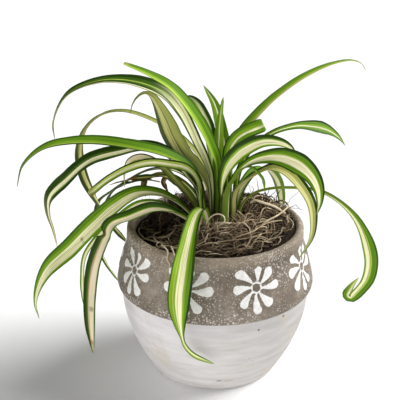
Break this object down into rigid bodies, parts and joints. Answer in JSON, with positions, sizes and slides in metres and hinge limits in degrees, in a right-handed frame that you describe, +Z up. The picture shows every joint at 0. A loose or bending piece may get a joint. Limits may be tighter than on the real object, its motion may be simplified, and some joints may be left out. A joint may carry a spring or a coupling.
{
  "type": "potted spider plant",
  "caption": "Spider plant with arching striped leaves and tangled surface roots in a round stoneware pot with a daisy band.",
  "frame": {"origin": "centre of the pot's flat foot", "axes": "+Z up, -Y towards the front of the plant, +X to the right as seen from the front"},
  "size_m": [0.2466, 0.1801, 0.2238],
  "materials": {
    "pot_stoneware": "matte",
    "soil": "rough",
    "roots": "rough",
    "crown": "satin",
    "leaf_striped": "satin",
    "leaf_green": "satin",
    "leaf_pale": "satin"
  },
  "bodies": {
    "root": {"pot": "pot_stoneware", "soil": "soil", "root_mat": "roots", "crown": "crown", "leaf_tall_left": "leaf_green", "leaf_high_arch_left": "leaf_green", "leaf_broad_pale_left": "leaf_pale", "leaf_thin_arch_back_left": "leaf_pale", "leaf_long_green_left": "leaf_green", "leaf_dark_margins_left": "leaf_striped", "leaf_cut_left": "leaf_striped", "leaf_olive_left": "leaf_green", "leaf_thin_back_left": "leaf_green", "leaf_low_back_left": "leaf_green", "leaf_front_left_wide": "leaf_striped", "leaf_front_left_under": "leaf_green", "leaf_kinked_left": "leaf_striped", "leaf_front": "leaf_striped", "leaf_upright_back": "leaf_green", "leaf_upright_centre": "leaf_green", "leaf_wavy_back": "leaf_striped", "leaf_cut_right": "leaf_striped", "leaf_long_right": "leaf_green", "leaf_right_mid": "leaf_striped", "leaf_right_upper": "leaf_striped", "leaf_right_broad": "leaf_striped", "leaf_right_hanging": "leaf_pale", "leaf_right_drooping": "leaf_striped", "leaf_thin_curl_right": "leaf_green", "leaf_back_right": "leaf_striped", "leaf_back": "leaf_striped"}
  },
  "joints": []
}
